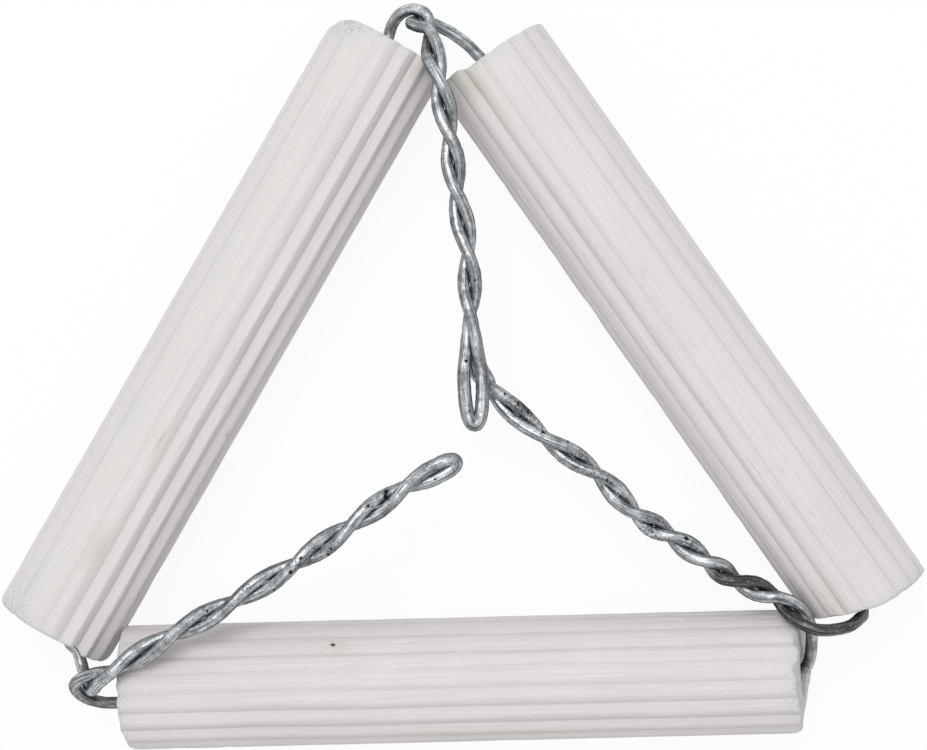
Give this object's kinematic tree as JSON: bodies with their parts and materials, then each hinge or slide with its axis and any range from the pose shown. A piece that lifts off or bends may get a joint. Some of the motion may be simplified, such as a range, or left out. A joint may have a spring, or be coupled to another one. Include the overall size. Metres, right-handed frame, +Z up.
{
  "type": "pipe clay triangle",
  "caption": "Open triangle of fluted clay tubes on twisted wire, laid over a ring or tripod to hold a crucible above a burner.",
  "frame": {"origin": "on the surface that the tubes lie on, under the middle of the outline's box", "axes": "+Z up, square to the triangle; +X along the bottom tube towards its worn end; +Y towards the corner between the left and right tubes"},
  "size_m": [0.0827, 0.0671, 0.0132],
  "materials": {
    "pipe_clay": "unglazed fired pipe clay, off-white, faintly stained and chipped",
    "galvanised_wire": "galvanised soft iron wire, mottled grey, darkened by the flame at one corner"
  },
  "bodies": {
    "root": {"left_tube": "pipe_clay", "right_tube": "pipe_clay", "bottom_tube": "pipe_clay", "wire": "galvanised_wire"}
  },
  "joints": []
}
